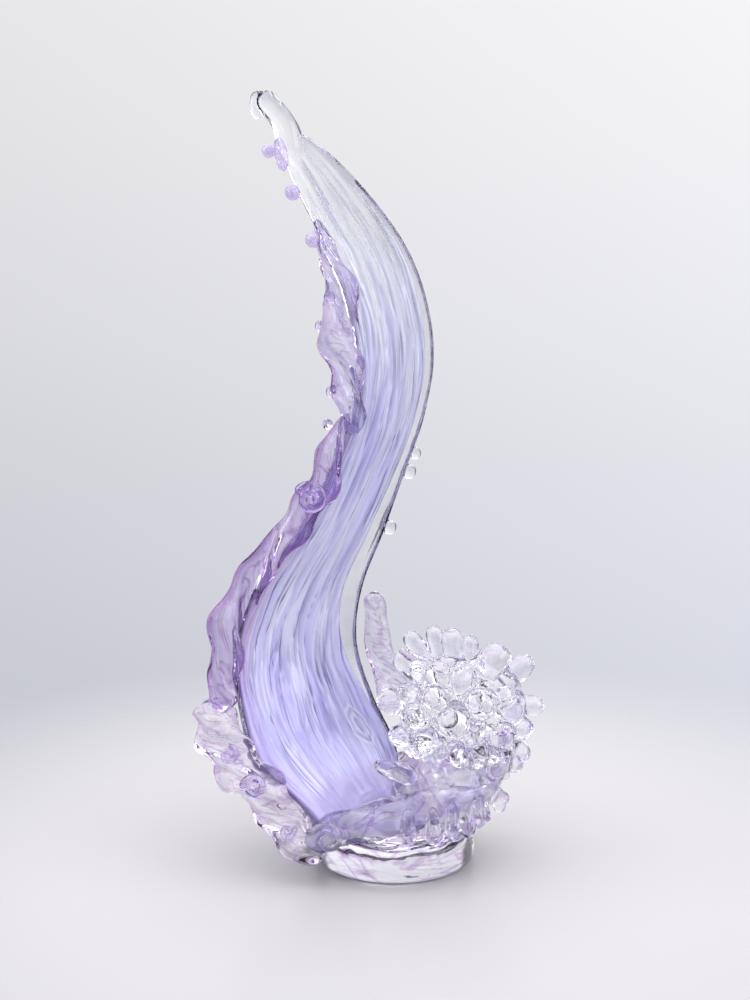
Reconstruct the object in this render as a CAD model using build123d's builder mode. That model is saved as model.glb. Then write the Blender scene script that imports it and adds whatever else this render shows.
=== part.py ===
from build123d import *

import os
from math import copysign, cos, pi, radians, sin

# Hot-worked glass wave sculpture
#
# A thick round foot carries a wave that sweeps up in an S and ends in a drawn tip. The wave is a violet core
# with a fluted front, cased in clear glass behind and along both edges. Trails, a foam rim, beads and scrolls
# are laid on the edges, and a mound with drawn prongs stands at the low right side like spray. All of it is
# fused hot, so each piece here is cut by the pieces that were there before it, and seats on them face to face.
#
# The origin is under the middle of the foot, with +Z up, +X towards the spray and -Y towards the viewer.

# Foot and the gather that joins the wave to it
foot_diameter = 120
foot_height = 26
foot_shoulder = 11
foot_heel = 5
gather_diameter = 88
gather_height = 10

# Wave: its height over the gather, its reach to each side and its depth from front to back
wave_height = 514
wave_reach = 120
wave_depth = 60

# Level sections of the wave: height, left edge, right edge, back, front, curl of the edges, turn in degrees
wave_shares = [
    (0.000, -0.54, 0.10, 0.46, -0.76, 0.34, 28),
    (0.030, -0.68, -0.02, 0.62, -0.50, 0.44, 28),
    (0.085, -0.94, -0.11, 0.73, 0.00, 0.50, 28),
    (0.150, -1.03, -0.225, 0.76, 0.25, 0.45, 26),
    (0.230, -1.035, -0.295, 0.77, 0.36, 0.34, 23),
    (0.310, -0.91, -0.24, 0.77, 0.38, 0.25, 20),
    (0.390, -0.67, -0.10, 0.77, 0.38, 0.20, 17),
    (0.470, -0.46, 0.03, 0.76, 0.38, 0.16, 14),
    (0.560, -0.30, 0.17, 0.73, 0.37, 0.13, 11),
    (0.645, -0.25, 0.235, 0.69, 0.35, 0.12, 8),
    (0.730, -0.31, 0.195, 0.64, 0.31, 0.10, 5),
    (0.810, -0.44, 0.06, 0.57, 0.27, 0.07, 2),
    (0.890, -0.60, -0.20, 0.48, 0.22, 0.04, 0),
    (0.966, -0.725, -0.535, 0.37, 0.17, 0.01, 0),
]
edge_points = 9
edge_roundness_share = 0.72
face_roundness_share = 0.90

# Violet core: how far it stays inside the casing, and its flutes
core_wall = 6.5
core_margin = 25
flutes = 6
flute_depth = 2.4
points_per_flute = 3
# Sections of the core: height, left margin, right margin, depth of the flutes
core_shares = [
    (0.022, 0.40, 0.34, 0.00),
    (0.050, 0.42, 0.34, 0.15),
    (0.090, 0.42, 0.34, 0.55),
    (0.150, 0.34, 0.32, 0.90),
    (0.230, 0.22, 0.32, 1.00),
    (0.310, 0.20, 0.32, 1.00),
    (0.390, 0.20, 0.31, 1.00),
    (0.470, 0.22, 0.30, 1.00),
    (0.560, 0.24, 0.29, 1.00),
    (0.645, 0.24, 0.29, 1.00),
    (0.730, 0.24, 0.28, 0.90),
    (0.810, 0.24, 0.27, 0.70),
    (0.880, 0.22, 0.24, 0.45),
    (0.930, 0.18, 0.18, 0.20),
]


# Drawn tip of the crest: its sections by reach to the left, rise and radius, its knob and the hook's place
tip_reach = 16
tip_rise = 20
tip_radius = 9
tip_shares = [
    (0.00, -0.20, 1.10),
    (0.26, 0.26, 0.94),
    (0.64, 0.66, 0.88),
    (0.96, 0.96, 0.84),
]
knob_radius = 8.2
hook_radius = 4
hook_place_shares = (1.47, 0.66)

# Trails on the left edge: height, distance out, set forward and half width of each section
trail_flatness_share = 0.72
shoulder_width = 10
shoulder_shares = [
    (0.820, -0.32, 0.00, 0.26),
    (0.775, 0.10, 0.00, 0.54),
    (0.738, 0.25, 0.10, 0.68),
    (0.712, 0.62, 0.20, 1.05),
    (0.690, 0.95, 0.25, 1.30),
    (0.665, 0.78, 0.15, 1.20),
    (0.640, 0.55, 0.00, 0.96),
    (0.605, 0.52, 0.10, 0.94),
    (0.570, 0.56, 0.00, 0.96),
    (0.545, 0.56, 0.00, 0.80),
]
frill_width = 12.5
frill_shares = [
    (0.545, 0.45, 0.00, 0.64),
    (0.528, 0.44, 0.00, 0.76),
    (0.505, 0.44, 0.10, 0.66),
    (0.480, 0.74, 0.20, 0.90),
    (0.450, 0.50, 0.05, 0.80),
    (0.420, 0.86, 0.00, 0.94),
    (0.395, 1.02, 0.15, 1.04),
    (0.365, 1.10, 0.00, 0.96),
    (0.335, 1.10, 0.15, 1.02),
    (0.305, 1.20, 0.00, 0.98),
    (0.272, 1.38, 0.10, 1.02),
    (0.237, 1.04, 0.00, 0.88),
    (0.200, 1.02, 0.10, 0.96),
    (0.160, 0.98, 0.00, 1.00),
]

# Loop of the frill: its height, distance out and forward in frill widths, and its coil
loop_radius = 8.5
loop_thickness = 4
loop_place_shares = (0.451, 0.62, 0.82)

# Foam rim round the low left side: place across, place in depth, height and half width of each section
foam_reach = 140
foam_depth = 54
foam_height = 120
foam_width = 20
foam_flatness_share = 0.62
foam_shares = [
    (-1.00, -0.37, 1.00, 0.40),
    (-0.93, -0.41, 0.93, 0.86),
    (-0.90, -0.50, 0.83, 1.02),
    (-0.85, -0.59, 0.735, 1.00),
    (-0.78, -0.70, 0.64, 0.94),
    (-0.72, -0.78, 0.56, 0.96),
    (-0.63, -0.87, 0.46, 1.05),
    (-0.54, -0.96, 0.335, 1.04),
    (-0.475, -1.00, 0.20, 0.84),
    (-0.43, -0.95, 0.10, 0.54),
]

# Marbled lip round the front: place across, place in depth, height over the table and radius of each section
lip_radius = 13
lip_reach = 74
lip_depth = 57
lip_rise = 40
lip_shares = [
    (-0.86, -0.98, 0.46, 0.60),
    (-0.64, -1.01, 0.56, 1.00),
    (-0.36, -1.00, 0.65, 0.92),
    (-0.08, -0.97, 0.69, 1.00),
    (0.20, -0.92, 0.78, 1.06),
    (0.46, -0.83, 0.86, 1.00),
    (0.72, -0.66, 0.92, 0.98),
    (0.90, -0.42, 0.98, 0.84),
    (1.00, -0.14, 1.06, 0.50),
]

# Swell under the spray: place, half width, half depth and height of each section
swell_width = 46
swell_depth = 46
swell_height = 60
swell_reach = 50
swell_shares = [
    (0.30, 0.90, 0.84, 0.00),
    (0.54, 1.00, 0.98, 0.27),
    (0.78, 0.94, 1.00, 0.57),
    (0.96, 0.86, 0.90, 0.83),
    (1.06, 0.76, 0.76, 1.00),
]

# Spray: a mound with drawn prongs round it
spray_radius = 34
spray_reach = 50
spray_rise = 106
prong_root_radius = 5.8
prong_tip_radius = 5
prong_seat_share = 0.80
# Prongs: the middle of each rounded end from the mound's middle, in mound radii, and its radius in tip radii
crown_shares = [
    (-1.68, -0.18, 0.42, 1.30),
    (-1.36, 0.06, 1.32, 1.05),
    (-1.14, 0.41, 1.72, 0.76),
    (-0.64, 0.29, 1.87, 0.84),
    (-0.24, 0.18, 1.74, 1.35),
    (0.17, 0.29, 1.62, 1.00),
    (0.40, 0.59, 1.10, 1.05),
    (0.79, 0.24, 1.30, 1.80),
    (1.41, 0.00, 1.20, 1.15),
]
front_shares = [
    (-0.93, -0.41, 1.22, 1.35),
    (-0.56, -0.76, 1.16, 1.45),
    (-0.08, -0.71, 1.12, 1.30),
    (-1.24, -0.76, 0.74, 1.35),
    (-1.15, -1.00, 0.26, 1.35),
    (-1.44, -0.88, -0.18, 1.15),
    (-0.66, -1.18, 0.74, 1.35),
    (-0.28, -1.29, 0.29, 2.00),
    (0.35, -1.12, 0.64, 1.65),
    (0.59, -1.06, 0.22, 1.30),
    (0.24, -1.24, -0.54, 1.45),
    (-0.86, -1.24, -0.22, 1.30),
]
outer_shares = [
    (1.65, -0.12, 0.30, 0.92),
    (1.17, -0.47, 0.52, 1.15),
    (0.85, -0.71, 0.66, 1.30),
    (1.32, -0.41, -0.14, 1.30),
    (0.85, -0.82, -0.19, 1.55),
    (0.67, -0.88, -0.86, 1.40),
    (1.35, -0.24, -0.76, 0.85),
    (1.14, 0.41, 0.62, 1.25),
]
rear_shares = [
    (-0.70, 0.95, 1.00, 1.20),
    (-0.10, 1.15, 0.86, 1.40),
    (0.55, 1.05, 0.66, 1.30),
    (1.05, 0.85, 0.12, 1.20),
    (0.35, 1.25, 0.08, 1.45),
    (-0.45, 1.28, 0.20, 1.30),
    (0.80, 1.05, -0.50, 1.20),
    (0.10, 1.30, -0.56, 1.30),
]

# Drops that hang under the lip: place across, place in depth and height of each root, and length
drop_root_radius = 5.6
drop_tip_radius = 4.2
drop_length = 14
drop_shares = [
    (0.42, -0.86, 0.72, 0.90),
    (0.64, -0.72, 0.76, 1.05),
    (0.84, -0.50, 0.80, 1.00),
    (0.97, -0.20, 0.86, 1.15),
]

# Beads on the edges: height, distance out, set forward and radius
bead_radius = 6
crest_bead_shares = [
    (0.815, 0.85, 0.20, 1.00),
    (0.880, 0.60, 0.20, 1.00),
    (0.930, 0.10, 0.40, 0.90),
    (0.936, 1.50, 0.20, 0.86),
]
left_bead_shares = [
    (0.735, 1.60, 0.10, 0.75),
    (0.694, 3.30, 0.20, 0.85),
    (0.602, 2.35, 0.10, 0.80),
    (0.556, 2.30, 0.10, 0.70),
]
right_bead_shares = [
    (0.512, 0.30, 0.20, 0.80),
    (0.485, 0.40, 0.00, 0.95),
    (0.403, 0.40, 0.10, 0.95),
]

# Scrolls: coils with a ball in the middle, laid on the lip and on the foam rim
scroll_radius = 9.5
scroll_thickness = 4.4
scroll_proud_share = 0.92
small_scroll_share = 0.62
# Rows of the foam rim that carry a small scroll
foam_scroll_rows = (3, 5, 7)

# Fin behind the right edge: height, distance out, set back and half width
fin_width = 8
fin_shares = [
    (0.300, 0.20, 0.10, 0.40),
    (0.275, 0.70, 0.10, 0.90),
    (0.245, 0.90, 0.20, 0.86),
    (0.215, 1.10, 0.30, 1.00),
    (0.185, 0.95, 0.20, 0.92),
    (0.155, 0.80, 0.20, 0.70),
    (0.125, 0.90, 0.10, 0.40),
]

wave_seat = foot_height + gather_height
lip_height = foot_height + lip_rise


def share_at(rows, column, height):
    """A column of a table of shares at a share of the wave's height, read between its rows."""
    for low, high in zip(rows, rows[1:]):
        if height <= high[0]:
            part = (height - low[0]) / (high[0] - low[0])
            return low[column] + part * (high[column] - low[column])
    return rows[-1][column]


def level(height):
    """The height over the table of a share of the wave's height."""
    return wave_seat + height * wave_height


def wave_frame(height):
    """Middle, half width, half thickness, curl and turn of the wave's level section."""
    left, right, back, front, curl = (share_at(wave_shares, column, height) for column in range(1, 6))
    turn = radians(share_at(wave_shares, 6, height))
    middle = ((left + right) / 2 * wave_reach, (back + front) / 2 * wave_depth)
    half_width = (right - left) / 2 * wave_reach / cos(turn)
    half_thickness = (back - front) / 2 * wave_depth
    return middle, half_width, half_thickness, curl * wave_depth, turn


def wave_point(height, across, through):
    """A point of the wave: across runs from -1 at its left edge to 1 at its right, through is backwards."""
    middle, half_width, half_thickness, curl, turn = wave_frame(height)
    x = across * half_width
    y = through - curl * across**2
    return (middle[0] + x * cos(turn) - y * sin(turn), middle[1] + x * sin(turn) + y * cos(turn))


def rounded(value, power):
    """A cosine or sine drawn out into a fuller curve."""
    return copysign(abs(value) ** power, value)


def ring(points, height):
    """The face inside a smooth closed line through points of a level plane."""
    with BuildSketch(Plane.XY.offset(height)) as section:
        with BuildLine() as outline:
            Spline(*points, periodic=True)
        make_face(outline.edges())
    return section.sketch


def casing_section(height):
    """The whole wave's outline at a share of its height."""
    half_thickness = wave_frame(height)[2]
    points = []
    for step in range(2 * edge_points):
        angle = pi * step / edge_points
        across = rounded(cos(angle), face_roundness_share)
        through = rounded(sin(angle), edge_roundness_share) * half_thickness
        points.append(wave_point(height, across, through))
    return ring(points, level(height))


def core_limits(height):
    """The core's left and right edges, as shares across the wave."""
    half_width = wave_frame(height)[1]
    left = -1 + share_at(core_shares, 1, height) * core_margin / half_width
    right = 1 - share_at(core_shares, 2, height) * core_margin / half_width
    return left, right


def channel_section(height):
    """The outline that bounds the core at its back and sides and runs out past its front."""
    half_thickness = wave_frame(height)[2]
    left, right = core_limits(height)
    back = half_thickness - core_wall
    front = -half_thickness - core_wall
    points = []
    for step in range(2 * edge_points):
        angle = pi * step / edge_points
        across = (left + right) / 2 + (right - left) / 2 * rounded(cos(angle), face_roundness_share)
        through = (back + front) / 2 + (back - front) / 2 * rounded(sin(angle), edge_roundness_share)
        points.append(wave_point(height, across, through))
    return ring(points, level(height))


def fluted_section(height):
    """A wide section whose front is the wave's front with flutes, and whose back is out past the wave's."""
    half_thickness = wave_frame(height)[2]
    left, right = core_limits(height)
    depth = share_at(core_shares, 3, height) * flute_depth
    steps = flutes * points_per_flute
    front_points = []
    for step in range(-points_per_flute, steps + points_per_flute + 1):
        across = left + (right - left) * step / steps
        dip = depth * (cos(2 * pi * step / points_per_flute) - 1) / 2
        front_points.append(wave_point(height, across, dip - half_thickness))
    back = half_thickness + core_wall
    back_left = wave_point(height, left - (right - left) / flutes, back)
    back_right = wave_point(height, right + (right - left) / flutes, back)
    with BuildSketch(Plane.XY.offset(level(height))) as section:
        with BuildLine() as outline:
            Spline(*front_points)
            Polyline(front_points[-1], back_right, back_left, front_points[0])
        make_face(outline.edges())
    return section.sketch


def edge_point(height, side, out, forward):
    """A point straight out from the wave's edge, on the left for a side of -1 or on the right for 1."""
    edge = wave_point(height, side, -forward)
    turn = wave_frame(height)[-1]
    return (edge[0] + side * out * cos(turn), edge[1] + side * out * sin(turn), level(height))


def oval(place, half_width, half_depth):
    """A level oval section of a trail."""
    with BuildSketch(Plane(place)) as section:
        Ellipse(half_width, half_depth)
    return section.sketch


def edge_trail(rows, side, size):
    """The sections of a trail on the wave's edge, from a table of shares of its size."""
    return [
        oval(
            edge_point(height, side, out * size, forward * size),
            half_width * size,
            half_width * size * trail_flatness_share,
        )
        for height, out, forward, half_width in rows
    ]


def edge_beads(rows, side):
    """Round beads on the wave's edge, each turned so that its seam is away from the wave."""
    for height, out, forward, radius in rows:
        place = edge_point(height, side, out * bead_radius, forward * bead_radius)
        with Locations(Plane(origin=place, x_dir=(side, 0, 0), z_dir=(0, -1, 0))):
            Sphere(radius * bead_radius)


def scroll(place, size):
    """A coil with a ball in its middle that faces the viewer."""
    with Locations(Plane(origin=place, x_dir=(1, 0, 0), z_dir=(0, -1, 0))):
        Torus(scroll_radius * size, scroll_thickness * size)
        Sphere(scroll_thickness * size)


def cut_by(*neighbours):
    """Takes the room of the neighbours that were laid on before out of the piece that is being made."""
    for neighbour in neighbours:
        add(neighbour.part, mode=Mode.SUBTRACT)


core_heights = [row[0] for row in core_shares]

with BuildPart() as foot:
    with BuildSketch():
        Circle(foot_diameter / 2)
    extrude(amount=foot_height)
    fillet(foot.edges().group_by(Axis.Z)[-1], foot_shoulder)
    fillet(foot.edges().group_by(Axis.Z)[0], foot_heel)

with BuildPart() as base_gather:
    with BuildSketch(Plane.XY.offset(foot_height)):
        Circle(gather_diameter / 2)
    extrude(amount=gather_height)

with BuildPart() as violet_core:
    loft(sections=[channel_section(height) for height in core_heights])
    loft(sections=[fluted_section(height) for height in core_heights], mode=Mode.INTERSECT)

with BuildPart() as clear_casing:
    loft(sections=[casing_section(row[0]) for row in wave_shares])
    loft(sections=[channel_section(height) for height in core_heights], mode=Mode.SUBTRACT)

with BuildPart() as right_beads:
    edge_beads(right_bead_shares, 1)
    cut_by(clear_casing)

# The crest's tip leans on over the casing's end and ends in a hook
crest_share = wave_shares[-1][0]
crest = Vector(*wave_point(crest_share, 0, 0), level(crest_share))


def tip_point(reach, rise):
    """A point of the drawn tip."""
    return crest + Vector(-reach * tip_reach, 0, rise * tip_rise)


with BuildPart() as crest_tip:
    loft(
        sections=[
            oval(tip_point(reach, rise), radius * tip_radius, radius * tip_radius)
            for reach, rise, radius in tip_shares
        ]
    )
    for place, radius in ((tip_shares[-1][:2], knob_radius), (hook_place_shares, hook_radius)):
        with Locations(Plane(origin=tip_point(*place), x_dir=(-1, 0, 0))):
            Sphere(radius)
    cut_by(clear_casing)

with BuildPart() as crest_beads:
    edge_beads(crest_bead_shares, -1)
    cut_by(clear_casing, crest_tip)

with BuildPart() as shoulder_trail:
    loft(sections=edge_trail(shoulder_shares, -1, shoulder_width))
    cut_by(clear_casing, violet_core)

with BuildPart() as violet_frill:
    loft(sections=edge_trail(frill_shares, -1, frill_width))
    cut_by(clear_casing, violet_core)

with BuildPart() as frill_loop:
    height, out, forward = loop_place_shares
    loop_place = edge_point(height, -1, out * frill_width, forward * frill_width)
    with Locations(Plane(origin=loop_place, x_dir=(1, 0, 0), z_dir=(0, -1, 0))):
        Torus(loop_radius, loop_thickness)
    cut_by(violet_frill, clear_casing, violet_core)

foam_points = [
    (x * foam_reach, y * foam_depth, z * foam_height) for x, y, z, half_width in foam_shares
]
with BuildPart() as foam_rim:
    loft(
        sections=[
            oval(point, row[-1] * foam_width, row[-1] * foam_width * foam_flatness_share)
            for point, row in zip(foam_points, foam_shares)
        ]
    )
    cut_by(clear_casing, violet_core, base_gather, foot, violet_frill)

with BuildPart() as foam_scrolls:
    for row in foam_scroll_rows:
        front = foam_shares[row][-1] * foam_width * foam_flatness_share * scroll_proud_share
        scroll(Vector(*foam_points[row]) - Vector(0, front, 0), small_scroll_share)
    cut_by(foam_rim, clear_casing)

with BuildPart() as marbled_swell:
    sections = []
    for place, half_width, half_depth, height in swell_shares:
        centre = (place * swell_reach, 0, foot_height + height * swell_height)
        sections.append(oval(centre, half_width * swell_width, half_depth * swell_depth))
    loft(sections=sections)
    cut_by(clear_casing, violet_core, base_gather)

with BuildPart() as spray_mound:
    with Locations((spray_reach, 0, spray_rise)):
        Sphere(spray_radius)
    cut_by(clear_casing, marbled_swell)

with BuildPart() as front_lip:
    sections = []
    for x, y, z, radius in lip_shares:
        centre = (x * lip_reach, y * lip_depth, z * lip_height)
        with BuildSketch(Plane(origin=centre, x_dir=(0, 1, 0), z_dir=(1, 0, 0))) as section:
            Circle(radius * lip_radius)
        sections.append(section.sketch)
    loft(sections=sections)
    cut_by(clear_casing, violet_core, base_gather, foot, marbled_swell, foam_rim, spray_mound)

with BuildPart() as front_scroll:
    x, y, z, radius = lip_shares[1]
    front = radius * lip_radius * scroll_proud_share
    scroll((x * lip_reach, y * lip_depth - front, z * lip_height), 1)
    cut_by(front_lip, foam_rim)

with BuildPart() as hanging_drops:
    for x, y, z, length in drop_shares:
        root = Vector(x * lip_reach, y * lip_depth, z * lip_height)
        reach = length * drop_length
        with Locations(Plane(origin=root, z_dir=(x * drop_root_radius, y * drop_root_radius, -drop_length))):
            with Locations((0, 0, reach / 2)):
                Cone(drop_root_radius, drop_tip_radius, reach)
            with Locations((0, 0, reach)):
                Sphere(drop_tip_radius)
    cut_by(front_lip, marbled_swell, base_gather, foot)

with BuildPart() as rear_fin:
    loft(
        sections=[
            oval(
                edge_point(height, 1, out * fin_width, -back * fin_width),
                half_width * fin_width,
                half_width * fin_width,
            )
            for height, out, back, half_width in fin_shares
        ]
    )
    cut_by(clear_casing, violet_core, marbled_swell, spray_mound)


def draw_prongs(rows):
    """Tapered prongs with rounded ends that stand out from the mound."""
    middle = Vector(spray_reach, 0, spray_rise)
    for *place, radius in rows:
        way = Vector(*place) * spray_radius
        seat = way.normalized() * (spray_radius * prong_seat_share)
        length = (way - seat).length
        with Locations(Plane(origin=middle + seat, z_dir=way)):
            with Locations((0, 0, length / 2)):
                Cone(radius * prong_root_radius, radius * prong_tip_radius, length)
            with Locations((0, 0, length)):
                Sphere(radius * prong_tip_radius)


with BuildPart() as spray_crown:
    draw_prongs(crown_shares)
    cut_by(spray_mound, clear_casing, rear_fin)

with BuildPart() as spray_front:
    draw_prongs(front_shares)
    cut_by(spray_mound, front_lip, marbled_swell, clear_casing, violet_core, spray_crown)

with BuildPart() as spray_outer:
    draw_prongs(outer_shares)
    cut_by(spray_mound, front_lip, marbled_swell, spray_crown, spray_front)

with BuildPart() as spray_rear:
    draw_prongs(rear_shares)
    cut_by(spray_mound, marbled_swell, clear_casing, rear_fin, spray_crown, spray_outer)

with BuildPart() as left_beads:
    edge_beads(left_bead_shares, -1)
    cut_by(shoulder_trail, clear_casing)

pieces = {
    "foot": foot,
    "base_gather": base_gather,
    "violet_core": violet_core,
    "clear_casing": clear_casing,
    "crest_tip": crest_tip,
    "crest_beads": crest_beads,
    "shoulder_trail": shoulder_trail,
    "violet_frill": violet_frill,
    "frill_loop": frill_loop,
    "left_beads": left_beads,
    "right_beads": right_beads,
    "rear_fin": rear_fin,
    "foam_rim": foam_rim,
    "foam_scrolls": foam_scrolls,
    "marbled_swell": marbled_swell,
    "front_lip": front_lip,
    "front_scroll": front_scroll,
    "hanging_drops": hanging_drops,
    "spray_mound": spray_mound,
    "spray_crown": spray_crown,
    "spray_front": spray_front,
    "spray_outer": spray_outer,
    "spray_rear": spray_rear,
}
os.makedirs("parts", exist_ok=True)
for name, piece in pieces.items():
    piece.part.label = name
    export_step(piece.part, f"parts/{name}.step")
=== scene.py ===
from functools import partialmethod
from math import cos, pi, radians, sin, tau

import bmesh
import bpy
import numpy as np
from bpy.props import FloatProperty, FloatVectorProperty, IntProperty, PointerProperty
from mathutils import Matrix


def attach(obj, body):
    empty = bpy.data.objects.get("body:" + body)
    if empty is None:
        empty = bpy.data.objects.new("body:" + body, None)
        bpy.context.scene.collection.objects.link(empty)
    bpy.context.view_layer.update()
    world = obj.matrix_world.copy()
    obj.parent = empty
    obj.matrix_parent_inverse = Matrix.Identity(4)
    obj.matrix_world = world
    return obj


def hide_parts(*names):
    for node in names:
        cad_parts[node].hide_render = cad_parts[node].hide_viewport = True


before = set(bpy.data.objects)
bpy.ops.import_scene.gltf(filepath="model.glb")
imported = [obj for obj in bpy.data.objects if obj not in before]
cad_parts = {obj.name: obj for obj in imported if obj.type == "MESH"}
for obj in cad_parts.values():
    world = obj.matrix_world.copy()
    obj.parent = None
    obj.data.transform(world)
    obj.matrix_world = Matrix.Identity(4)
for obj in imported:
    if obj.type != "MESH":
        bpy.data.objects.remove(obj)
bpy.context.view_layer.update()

bl_info = {
    "name": "Glass Wave Sculpture",
    "version": (1, 0, 0),
    "blender": (4, 5, 0),
    "location": "View3D > Sidebar > Glass Wave",
    "description": "Dresses the glass wave: core, casing, trails, foam, lip, spray, foot and its stage",
    "category": "Object",
}

MM = 0.001

# Wave, in millimetres: the height of its seat, its own height, its reach to each side and its depth
WAVE_SEAT = 36
WAVE_HEIGHT = 514
WAVE_REACH = 120
WAVE_DEPTH = 60

# Ends of the casing and the core, in shares of the wave's height
WAVE_TOP = 0.966
CREST_START = 0.925
CREST_LENGTH = 0.041
CORE_TOP = 0.955
CORE_TAPER = 0.10

# Core: its margin in millimetres, how deep it lies at the crest, its back as a share of its front, and its
# least thickness
CORE_MARGIN = 25
CORE_SINK = 3.0 * MM
CORE_BACK_SHARE = 0.55
CORE_LEAST = 0.6 * MM

# The flutes of the casing and the core run alike
FLUTES = {"flutes_along": 4.0, "bend": 0.25, "seed": 3.7}

# The least size of a trail's end, and the voxels of the small pieces in millimetres
END_LEAST = 0.02
BEAD_VOXEL = 0.6

# Level sections of the wave: height, left edge, right edge, back, front, curl of the edges, turn in degrees
WAVE_SHARES = [
    (0.0, -0.54, 0.10, 0.46, -0.76, 0.34, 28),
    (0.03, -0.68, -0.02, 0.62, -0.50, 0.44, 28),
    (0.085, -0.94, -0.11, 0.73, 0.00, 0.50, 28),
    (0.15, -1.03, -0.225, 0.76, 0.25, 0.45, 26),
    (0.23, -1.035, -0.295, 0.77, 0.36, 0.34, 23),
    (0.31, -0.91, -0.24, 0.77, 0.38, 0.25, 20),
    (0.39, -0.67, -0.10, 0.77, 0.38, 0.20, 17),
    (0.47, -0.46, 0.03, 0.76, 0.38, 0.16, 14),
    (0.56, -0.30, 0.17, 0.73, 0.37, 0.13, 11),
    (0.645, -0.25, 0.235, 0.69, 0.35, 0.12, 8),
    (0.73, -0.31, 0.195, 0.64, 0.31, 0.10, 5),
    (0.81, -0.44, 0.06, 0.57, 0.27, 0.07, 2),
    (0.89, -0.60, -0.20, 0.48, 0.22, 0.04, 0),
    (0.966, -0.725, -0.535, 0.37, 0.17, 0.01, 0),
]

# Violet core: height, left margin and right margin in core margins, and how far it stands out of the casing
CORE_SHARES = [
    (0.0, 0.08, 0.14, 1.0),
    (0.085, 0.08, 0.14, 1.0),
    (0.15, 0.08, 0.22, 1.0),
    (0.23, 0.06, 0.44, 1.0),
    (0.31, 0.04, 0.56, 1.0),
    (0.39, 0.04, 0.46, 1.0),
    (0.47, 0.04, 0.34, 1.0),
    (0.56, 0.06, 0.29, 1.0),
    (0.645, 0.08, 0.27, 0.95),
    (0.73, 0.10, 0.24, 0.8),
    (0.81, 0.12, 0.22, 0.5),
    (0.955, 0.18, 0.18, 0.0),
]

# Trails, in millimetres: place, half width across the picture, half depth, and twist in degrees
FRILL_ROWS = [
    (-35, 11, 330, 4, 4, 0),
    (-41, 11, 312, 8, 7, 15),
    (-47, 10, 296, 10, 8, 30),
    (-54, 9, 280, 12, 8, 20),
    (-63, 8, 264, 12, 8, 0),
    (-73, 7, 250, 12, 8, -15),
    (-84, 6, 237, 12, 8, -25),
    (-95, 4, 222, 12, 8.5, -15),
    (-105, 2, 207, 12.5, 8.5, 0),
    (-115, -1, 191, 13, 8.5, 15),
    (-121, -5, 174, 13, 8.5, 25),
    (-123, -9, 157, 12, 8, 20),
    (-124, -13, 140, 12, 8, 10),
    (-125, -17, 126, 11, 8, 0),
    (-124, -20, 115, 7, 7, 0),
]
SHOULDER_ROWS = [
    (-56, 25, 470, 3, 3, 0),
    (-52, 21, 455, 6, 5, 0),
    (-46, 18, 440, 8, 6, 0),
    (-41, 15, 424, 11, 7, 10),
    (-39, 13, 408, 13, 8, 15),
    (-40, 11, 392, 15, 9, 10),
    (-39, 11, 378, 15, 9, 0),
    (-35, 11, 362, 13, 8, -10),
    (-32, 12, 344, 11, 7, -10),
    (-31, 13, 328, 9.5, 7, 0),
    (-29, 14, 314, 7, 6, 0),
]
FOAM_ROWS = [
    (-137, -22, 123, 9, 6, 0),
    (-132, -25, 113, 16, 8, 0),
    (-125, -30, 100, 18, 8, 10),
    (-117, -35, 87, 17, 8, 15),
    (-107, -40, 75, 16, 8, 10),
    (-97, -44, 64, 16, 8, 0),
    (-86, -48, 53, 15, 8, -10),
    (-75, -52, 40, 14, 8, 0),
    (-64, -54, 27, 13, 8, 0),
    (-54, -52, 17, 9, 8, 0),
]
LIP_ROWS = [
    (-64, -52, 27, 8, 8, 0),
    (-47, -55, 37, 12, 11, 10),
    (-26, -54, 43, 12.5, 11.5, 0),
    (-6, -52, 46, 13, 12.5, -10),
    (15, -49, 51, 13, 12.5, 0),
    (34, -45, 56, 12.5, 12, 10),
    (53, -36, 60, 12.5, 12, 0),
    (66, -21, 64, 11, 11, 0),
    (74, -6, 68, 7, 7, 0),
]
FIN_ROWS = [
    (-14, 38, 193, 6, 5, 0),
    (-14, 39, 183, 9, 6.5, 0),
    (-14, 39, 171, 8, 6, 10),
    (-12, 38, 160, 9.5, 7, 15),
    (-10, 37, 148, 10, 7, 10),
    (-6, 36, 136, 12, 7, 0),
    (-2, 35, 123, 14, 7, 0),
    (2, 34, 110, 14, 7, 0),
    (4, 33, 98, 10, 6, 0),
]
TIP_ROWS = [
    (-70, 16, 506, 6, 5, 0),
    (-73, 16, 518, 9.5, 8, 0),
    (-76, 16, 529, 9.6, 8.6, 0),
    (-80, 16, 538, 8.6, 8, 0),
    (-85.5, 16, 545, 8, 7.6, 0),
    (-91, 16, 551.3, 8.2, 8, 0),
    (-96, 16, 556.8, 7.6, 7.6, 0),
]
HOOK_ROWS = [
    (-92, 14, 555, 3.6, 3.6, 0),
    (-98.5, 13, 554.5, 3.4, 3.4, 0),
    (-100.5, 12.5, 549, 2.8, 2.8, 0),
    (-98.8, 12.5, 543, 3.2, 3.2, 0),
    (-96.5, 13, 538.5, 3, 3, 0),
]
FINGER_ROWS = [
    (14, -36, 70, 7, 7, 0),
    (4, -42, 77, 7, 6.5, 0),
    (-6, -46, 82, 5.6, 5.2, 0),
    (-15, -49, 86, 4.2, 4, 0),
]
STREAK_ROWS = [
    (-83, 11, 526, 3, 3, 0),
    (-81.5, 10, 518, 4.4, 4.2, 0),
    (-80, 10, 509, 4.2, 4, 0),
    (-79, 11, 502, 2.6, 2.6, 0),
]

# Drops in front of the lip, in millimetres: their places, and the trail that each one is about its place
LIP_DROPS = [(9, -66, 44), (26, -64, 44), (40, -58, 46), (59, -45, 49)]
DROP_ROWS = [(0, 5, 14, 4, 4, 0), (0, 1, 5, 5, 5, 0), (0, 0, -5, 6, 6, 0), (0, 0, -12, 5, 5, 0)]

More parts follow.
